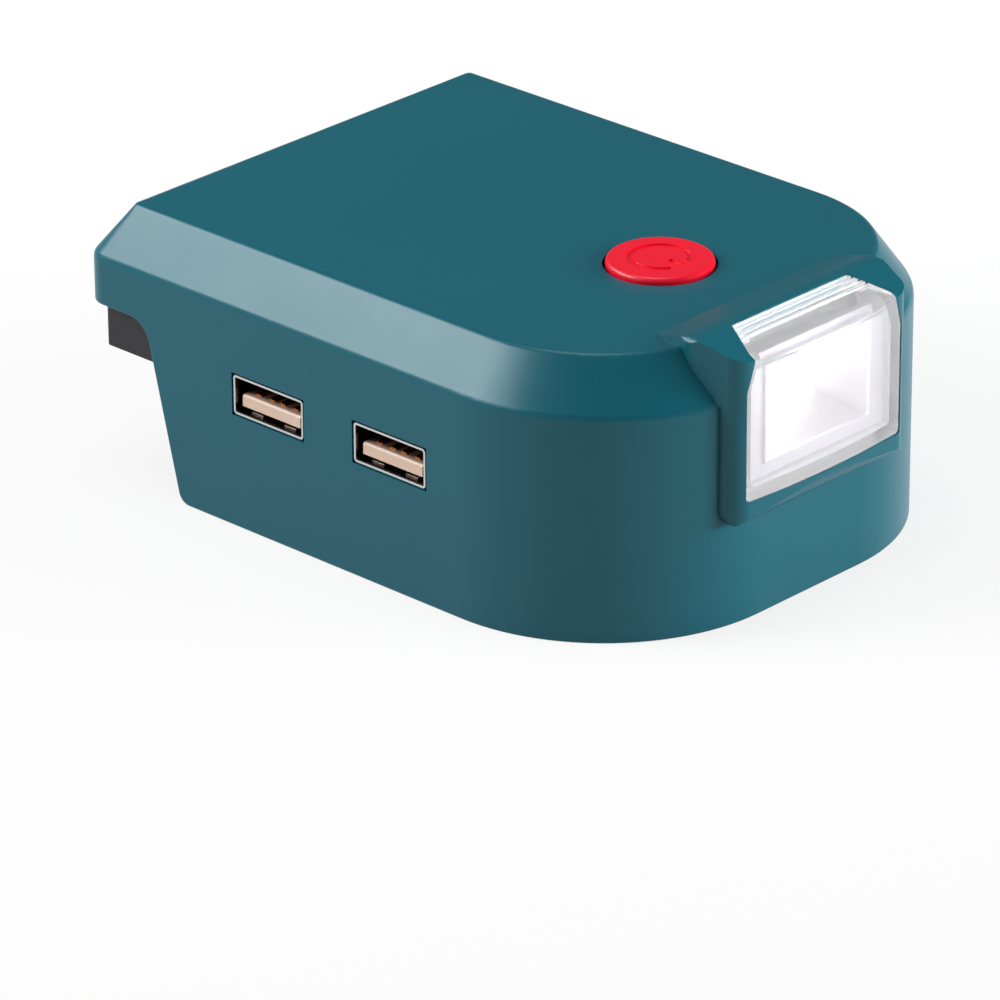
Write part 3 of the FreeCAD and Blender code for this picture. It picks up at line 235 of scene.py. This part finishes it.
def rolled_metal(name, main, other, roughness, line_mm, along, painted_shade=None):
    """Sheet metal with rolling lines along one axis, slight clouding, and painted shade where given."""
    material, tree = new_material(name)
    place = add_node(tree, "ShaderNodeTexCoord").outputs["Object"]
    stretch = [1.0, 1.0, 1.0]
    stretch[along] = line_stretch
    drawn = add_node(tree, "ShaderNodeMapping", {"Scale": stretch}, {"Vector": place})
    lines = add_node(tree, "ShaderNodeTexNoise", {"Scale": 1000 / line_mm, "Detail": 3.0},
                     {"Vector": drawn.outputs[0]})
    clouds = add_node(tree, "ShaderNodeTexNoise", {"Scale": cloud_scale, "Detail": 4.0},
                      {"Vector": place})
    tint = add_node(tree, "ShaderNodeMix", {6: colour(main), 7: colour(other)},
                    {0: clouds.outputs["Fac"]}, data_type="RGBA")
    # Painted shade, darkening the colour inwards, where one is given.
    if painted_shade:
        tint = add_painted_shade(tree, place, tint, painted_shade)
    rough = add_node(tree, "ShaderNodeMapRange",
                     {"To Min": roughness - smoother, "To Max": roughness + rougher},
                     {"Value": lines.outputs["Fac"]})
    relief = add_node(tree, "ShaderNodeBump", {"Strength": 0.3, "Distance": line_depth},
                      {"Height": lines.outputs["Fac"]})
    skin = add_node(tree, "ShaderNodeBsdfPrincipled", {"Metallic": 1.0},
                    {"Base Color": tint.outputs[2], "Roughness": rough.outputs[0],
                     "Normal": relief.outputs[0]})
    add_node(tree, "ShaderNodeOutputMaterial", links={"Surface": skin.outputs[0]})
    return material


tinned_brass = rolled_metal("tinned_brass", "#D9D2C0", "#CFC4AA", 0.28, 0.15, 1)
dress("positive_terminal", tinned_brass)
dress("negative_terminal", tinned_brass)


# ---------------------------------------------------------------- boards
# Glass-epoxy boards with green resist over copper: the copper shows through as slightly lighter
# areas, and the resist is glossy with a weave of 0.4 mm under it.
weave_scale = 2500.0
copper_edge = (0.08, 0.11)
copper_thick = 0.00003
resist_roughness = (0.22, 0.36)


def resist_board(name, over_glass, over_copper, track_mm):
    """Printed board: resist in two greens, with tracks, a weave and a glossy skin."""
    material, tree = new_material(name)
    place = add_node(tree, "ShaderNodeTexCoord").outputs["Object"]
    tracks = add_node(tree, "ShaderNodeTexVoronoi", {"Scale": 1000 / track_mm, "Randomness": 0.75},
                      {"Vector": place}, distance="MANHATTAN", feature="DISTANCE_TO_EDGE")
    copper = add_node(tree, "ShaderNodeMapRange",
                      {"From Min": copper_edge[0], "From Max": copper_edge[1]},
                      {"Value": tracks.outputs["Distance"]})
    weave = add_node(tree, "ShaderNodeTexNoise", {"Scale": weave_scale, "Detail": 1.0},
                     {"Vector": place})
    tint = add_node(tree, "ShaderNodeMix", {6: colour(over_glass), 7: colour(over_copper)},
                    {0: copper.outputs[0]}, data_type="RGBA")
    rough = add_node(tree, "ShaderNodeMapRange",
                     {"To Min": resist_roughness[0], "To Max": resist_roughness[1]},
                     {"Value": weave.outputs["Fac"]})
    relief = add_node(tree, "ShaderNodeBump", {"Strength": 0.6, "Distance": copper_thick},
                      {"Height": copper.outputs[0]})
    skin = add_node(tree, "ShaderNodeBsdfPrincipled",
                    {"IOR": 1.5, "Coat Weight": 0.4, "Coat Roughness": 0.12},
                    {"Base Color": tint.outputs[2], "Roughness": rough.outputs[0],
                     "Normal": relief.outputs[0]})
    add_node(tree, "ShaderNodeOutputMaterial", links={"Surface": skin.outputs[0]})
    return material


green_board = resist_board("green_board", "#0F4A2A", "#1B6B3C", 4.0)
dress("circuit_board", green_board)
dress("switch_board", green_board)
white_resist = resist_board("white_resist", "#D4D6D4", "#E4E6E4", 6.0)
dress("lamp_board", white_resist)


# ---------------------------------------------------------------- converter parts
# Bare aluminium cans, a dull sintered ferrite drum wound with enamelled copper, moulded epoxy
# chips and a pale ceramic fuse, all soldered to the main board.
can_aluminium = rolled_metal("can_aluminium", "#C9CBD0", "#BEC0C6", 0.3, 0.2, 2)
dress("capacitors", can_aluminium)
sintered_ferrite = moulded_plastic("sintered_ferrite", "#3A3A3E", "#2C2C30", 0.62, 0.3, 0.03)
dress("power_inductor", sintered_ferrite)
moulded_epoxy = moulded_plastic("moulded_epoxy", "#232325", "#1C1C1E", 0.55, 0.12, 0.01)
dress("converter_chip", moulded_epoxy)
dress("charge_chips", moulded_epoxy)
dress("switch_base", moulded_epoxy)
fuse_ceramic = moulded_plastic("fuse_ceramic", "#E9E3D2", "#DDD5C0", 0.4, 0.2, 0.008)
dress("fuse", fuse_ceramic)
enamelled_copper = rolled_metal("enamelled_copper", "#B9683A", "#A3562E", 0.3, 0.4, 0)
dress("inductor_winding", enamelled_copper)
dress("switch_links", enamelled_copper)


# ---------------------------------------------------------------- turns of the inductor
# Enamelled copper wire 0.48 mm thick, wound in eight touching turns round the ferrite drum: each
# turn is a ring of wire, sunk by half its thickness into the layers below it.
smooth_angle = math.radians(40)


def select_only(piece):
    """Leave one object selected and active."""
    bpy.ops.object.select_all(action="DESELECT")
    piece.select_set(True)
    bpy.context.view_layer.objects.active = piece


def finish_piece(piece, name, material, bevel=0.0):
    """Round the edges, put the place into the mesh, dress the piece and ride it on the housing."""
    piece.name = name
    select_only(piece)
    bpy.ops.object.transform_apply(location=True, rotation=True, scale=True)
    if bevel:
        edges = piece.modifiers.new("rounded_edges", "BEVEL")
        edges.width = bevel
        edges.segments = 2
        edges.limit_method = "ANGLE"
        bpy.ops.object.modifier_apply(modifier=edges.name)
    bpy.ops.object.mode_set(mode="EDIT")
    bpy.ops.mesh.select_all(action="SELECT")
    bpy.ops.mesh.normals_make_consistent(inside=False)
    bpy.ops.object.mode_set(mode="OBJECT")
    bpy.ops.object.shade_smooth_by_angle(angle=smooth_angle)
    piece.data.materials.clear()
    piece.data.materials.append(material)
    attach(piece, "housing")


def join_pieces(pieces):
    """Make one object of several."""
    select_only(pieces[0])
    for piece in pieces:
        piece.select_set(True)
    bpy.ops.object.join()
    return pieces[0]


turn_count = 8
ring_steps, wire_steps = 64, 10
low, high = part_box("inductor_winding")
turn_pitch = (high[2] - low[2]) / turn_count
turns = []
for number in range(turn_count):
    bpy.ops.object.select_all(action="DESELECT")
    bpy.ops.mesh.primitive_torus_add(
        major_radius=(high[0] - low[0]) / 2, minor_radius=turn_pitch / 2,
        major_segments=ring_steps, minor_segments=wire_steps,
        location=((low[0] + high[0]) / 2, (low[1] + high[1]) / 2, low[2] + (number + 0.5) * turn_pitch))
    turns.append(bpy.context.active_object)
finish_piece(join_pieces(turns), "inductor_turns", enamelled_copper)


# ---------------------------------------------------------------- bases of the capacitors
# Black moulded plates that the cans are crimped onto, with two corners cut off to show which
# lead is positive; a low collar holds the can.
facing = 0.9  # cosine from which a face counts as pointing in a direction


def add_block(size):
    """Add a block of a size at the origin."""
    bpy.ops.object.select_all(action="DESELECT")
    bpy.ops.mesh.primitive_cube_add(size=1, location=(0, 0, 0))
    block = bpy.context.active_object
    block.scale = size
    bpy.ops.object.transform_apply(location=False, rotation=False, scale=True)
    return block


def select_faces(piece, direction):
    """Start editing a piece with only the faces selected that point in a direction."""
    select_only(piece)
    bpy.ops.object.mode_set(mode="EDIT")
    bpy.ops.mesh.select_mode(type="FACE")
    bpy.ops.mesh.select_all(action="DESELECT")
    bpy.ops.object.mode_set(mode="OBJECT")
    for polygon in piece.data.polygons:
        polygon.select = polygon.normal.dot(Vector(direction)) > facing
    bpy.ops.object.mode_set(mode="EDIT")


def push_out(move, narrowing=None):
    """Extrude the selected faces by a move, and narrow their far end."""
    bpy.ops.mesh.extrude_region_move(TRANSFORM_OT_translate={"value": move})
    if narrowing:
        bpy.ops.transform.resize(value=(narrowing, narrowing, 1))


can_radius = 0.004
second_can_in = 0.015
base_width, base_thick = 0.0086, 0.0009
corner_cut = 0.0031
collar_in, collar_height, collar_narrowing = 0.0003, 0.0006, 0.96
board_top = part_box("circuit_board")[1][2]
low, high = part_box("capacitors")
can_places = [(low[0] + can_radius, low[1] + can_radius), (low[0] + can_radius, low[1] + second_can_in),
              (high[0] - can_radius, high[1] - can_radius)]
bases = []
for x, y in can_places:
    base = add_block((base_width, base_width, base_thick))
    bpy.ops.object.mode_set(mode="EDIT")
    for side in (1, -1):
        bpy.ops.mesh.select_all(action="SELECT")
        bpy.ops.mesh.bisect(plane_co=(corner_cut, side * corner_cut, 0), plane_no=(1, side, 0),
                            use_fill=True, clear_outer=True)
    bpy.ops.object.mode_set(mode="OBJECT")
    select_faces(base, (0, 0, 1))
    bpy.ops.mesh.inset(thickness=collar_in)
    push_out((0, 0, collar_height), collar_narrowing)
    bpy.ops.object.mode_set(mode="OBJECT")
    base.location = (x, y, board_top + base_thick / 2)
    bases.append(base)
finish_piece(join_pieces(bases), "capacitor_bases", moulded_epoxy, bevel=0.0001)


# ---------------------------------------------------------------- solder joints
# Lead-free solder that has run up the blades' tabs, the lamp's leads and the wire links: a
# bright, slightly grainy cone with hollow flanks, 0.8 mm high.
solder = rolled_metal("lead_free_solder", "#C8C8C6", "#B4B4B0", 0.34, 0.5, 2)
tab_length = 0.003
tab_foot, lead_foot, link_foot = 0.0019, 0.0013, 0.0010
foot_thick, foot_sides = 0.0002, 28
flank_steps = [(0.0001, 0.86), (0.0002, 0.84), (0.0003, 0.88)]
low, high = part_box("positive_terminal")
tab_x, tab_y = (low[0] + high[0]) / 2, low[1] + tab_length / 2
low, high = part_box("lamp_lead_red")
lead_radius = (high[0] - low[0]) / 2
lead_x, lead_y = low[0] + lead_radius, high[1] - lead_radius
low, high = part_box("switch_links")
link_radius = (high[1] - low[1]) / 2
link_y = low[1] + link_radius
solder_places = [(tab_x, tab_y, tab_foot), (-tab_x, tab_y, tab_foot),
                 (lead_x, lead_y, lead_foot), (-lead_x, lead_y, lead_foot),
                 (low[0] + link_radius, link_y, link_foot), (high[0] - link_radius, link_y, link_foot)]
joints = []
for x, y, foot in solder_places:
    bpy.ops.object.select_all(action="DESELECT")
    bpy.ops.mesh.primitive_cylinder_add(vertices=foot_sides, radius=foot, depth=foot_thick,
                                        location=(0, 0, 0))
    joint = bpy.context.active_object
    select_faces(joint, (0, 0, 1))
    for rise, narrowing in flank_steps:
        push_out((0, 0, rise), narrowing)
    bpy.ops.object.mode_set(mode="OBJECT")
    joint.location = (x, y, board_top + foot_thick / 2)
    joints.append(joint)
finish_piece(join_pieces(joints), "solder_joints", solder, bevel=0.00006)


# ---------------------------------------------------------------- USB receptacles
# A folded shell of tinned steel sheet 0.3 mm thick, an off-white nylon insert with its tongue
# in the lower half, and four gold-flashed spring contacts lying on the tongue. Each colour has
# painted shade that darkens it from the mouth inwards, where little light gets in.
low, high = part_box("usb_shell_rear")
outer_skin = 0.0001
mouth, roof = low[0], high[2] - outer_skin
# Painted shade for each colour: its dark tone and the X span from the mouth over which it darkens in; on
# the shell only below its roof.
shell_painted_shade = ("#5C4E4A", mouth + 0.0001, mouth + 0.0006, roof)
tongue_painted_shade = ("#5E4335", mouth + 0.0006, mouth + 0.0019)
contact_painted_shade = ("#5A3014", mouth + 0.0022, mouth + 0.0045)
tinned_steel = rolled_metal("tinned_steel", "#D8D6D6", "#C6C4C4", 0.26, 0.12, 0, shell_painted_shade)
cream_nylon = moulded_plastic("cream_nylon", "#EFD2BE", "#E8C9B2", 0.42, 0.2, 0.008, 0.4, tongue_painted_shade)
gold_flash = rolled_metal("gold_flash", "#D98A3C", "#C97A30", 0.24, 0.1, 0, contact_painted_shade)
for port in ("rear", "front"):
    dress("usb_shell_" + port, tinned_steel)
    dress("usb_tongue_" + port, cream_nylon)
    dress("usb_contacts_" + port, gold_flash)


# ---------------------------------------------------------------- spring fingers of the receptacles
# Strips lanced out of the shell's walls and bent inwards, two below the tongue and two above it,
# which grip the plug: tinned steel 0.22 mm thick with a turned-back tip, rougher than the shell and
# darkened by painted shade.
# A darker copy of the tinned steel: its colour is lowered as painted shade for the fingers deep in the
# mouth.
painted_shade_steel = rolled_metal("painted_shade_tinned_steel", "#857C78", "#6C6461", 0.34, 0.12, 0)
shell_wall = 0.0003
finger_root, finger_width, finger_thick = 0.0004, 0.0022, 0.00022
finger_in, finger_aside, finger_sunk = 0.0079, 0.0031, 0.00008
finger_steps = [(-0.0010, 0, 0.00011), (-0.0018, 0, 0.00021), (-0.0018, 0, 0.00017),
                (-0.0007, 0, 0.00004), (-0.0005, 0, -0.00007), (-0.0005, 0, -0.00014),
                (-0.0004, 0, -0.00014)]
for port in ("rear", "front"):
    low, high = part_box("usb_shell_" + port)
    middle = (low[1] + high[1]) / 2
    fingers = []
    for wall, turned, inwards in ((low[2] + shell_wall, 0.0, 1), (high[2] - shell_wall, math.pi, -1)):
        for across in (-finger_aside, finger_aside):
            finger = add_block((finger_root, finger_width, finger_thick))
            select_faces(finger, (-1, 0, 0))
            for move in finger_steps:
                push_out(move)
            bpy.ops.object.mode_set(mode="OBJECT")
            finger.rotation_euler = (turned, 0, 0)
            finger.location = (low[0] + finger_in, middle + across, wall - inwards * finger_sunk)
            fingers.append(finger)
    finish_piece(join_pieces(fingers), "usb_fingers_" + port, painted_shade_steel, bevel=0.00004)


# ---------------------------------------------------------------- push button and switch
# A round cap moulded in red ABS with a satin face, held by its flange under the housing.
# Its stem rests on the post of a snap switch, which gives the click and the return.
red_abs = moulded_plastic("red_abs", "#F5082C", "#F91236", 0.36, 0.2, 0.008)
dress("button_cap", red_abs)
# The plunger and dome take the receptacles' cream nylon and tinned steel, with the painted shade those
# materials carry, set by place alone.
dress("switch_plunger", cream_nylon)
dress("switch_dome", tinned_steel)


# ---------------------------------------------------------------- lamp
# Six phosphor-coated emitters on an aluminium board shine through a metallised reflector
# and a clear polycarbonate lens that wraps over the top of the pod.
phosphor_scale = 6000.0  # grains about 0.2 mm across
lit_strength = 15.0
film_scale = 700.0  # clouding of the metal film about 1.4 mm across
film_roughness = (0.4, 0.5)
haze_scale = 900.0  # haze in the lens about 1.1 mm across
haze_roughness = (0.1, 0.13)
lens_painted_glow = 0.06  # lens lit through by the emitters

lit_phosphor, tree = new_material("lit_phosphor")
place = add_node(tree, "ShaderNodeTexCoord").outputs["Object"]
dots = add_node(tree, "ShaderNodeTexNoise", {"Scale": phosphor_scale, "Detail": 2.0}, {"Vector": place})
tint = add_node(tree, "ShaderNodeMix", {6: colour("#FFF6DE"), 7: colour("#FFFDF6")},
                {0: dots.outputs["Fac"]}, data_type="RGBA")
skin = add_node(tree, "ShaderNodeBsdfPrincipled", {"Roughness": 0.5, "Emission Strength": lit_strength},
                {"Base Color": tint.outputs[2], "Emission Color": tint.outputs[2]})
add_node(tree, "ShaderNodeOutputMaterial", links={"Surface": skin.outputs[0]})
dress("lamp_emitters", lit_phosphor)

metallised, tree = new_material("metallised_plastic")
place = add_node(tree, "ShaderNodeTexCoord").outputs["Object"]
film = add_node(tree, "ShaderNodeTexNoise", {"Scale": film_scale, "Detail": 3.0}, {"Vector": place})
rough = add_node(tree, "ShaderNodeMapRange", {"To Min": film_roughness[0], "To Max": film_roughness[1]},
                 {"Value": film.outputs["Fac"]})
skin = add_node(tree, "ShaderNodeBsdfPrincipled", {"Base Color": colour("#BFBCC4"), "Metallic": 1.0},
                {"Roughness": rough.outputs[0]})
add_node(tree, "ShaderNodeOutputMaterial", links={"Surface": skin.outputs[0]})
dress("lamp_reflector", metallised)

clear_polycarbonate, tree = new_material("clear_polycarbonate")
place = add_node(tree, "ShaderNodeTexCoord").outputs["Object"]
haze = add_node(tree, "ShaderNodeTexNoise", {"Scale": haze_scale, "Detail": 3.0}, {"Vector": place})
rough = add_node(tree, "ShaderNodeMapRange", {"To Min": haze_roughness[0], "To Max": haze_roughness[1]},
                 {"Value": haze.outputs["Fac"]})
# The lens emits a faint painted glow, standing in for the emitters' light scattered inside it.
skin = add_node(tree, "ShaderNodeBsdfPrincipled",
                {"Base Color": colour("#F2F2F4"), "IOR": 1.585, "Transmission Weight": 0.85,
                 "Emission Color": colour("#F2F0F2"), "Emission Strength": lens_painted_glow},
                {"Roughness": rough.outputs[0]})
add_node(tree, "ShaderNodeOutputMaterial", links={"Surface": skin.outputs[0]})
dress("lamp_lens", clear_polycarbonate)
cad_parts["lamp_lens"].visible_shadow = False

red_pvc = moulded_plastic("red_pvc", "#B5161A", "#A81216", 0.45, 0.3, 0.006)
dress("lamp_lead_red", red_pvc)
black_pvc = moulded_plastic("black_pvc", "#1A1A1C", "#222224", 0.45, 0.3, 0.006)
dress("lamp_lead_black", black_pvc)


# ---------------------------------------------------------------- screws
# Cold-headed steel screws with a dark zinc finish: four long ones close the housing from
# below, and eight short ones hold the boards.
dark_zinc = rolled_metal("dark_zinc", "#5A5A5E", "#4B4B50", 0.36, 0.2, 2)
for group in ("housing_screws", "board_screws", "switch_board_screws", "lamp_board_screws"):
    dress(group, dark_zinc)
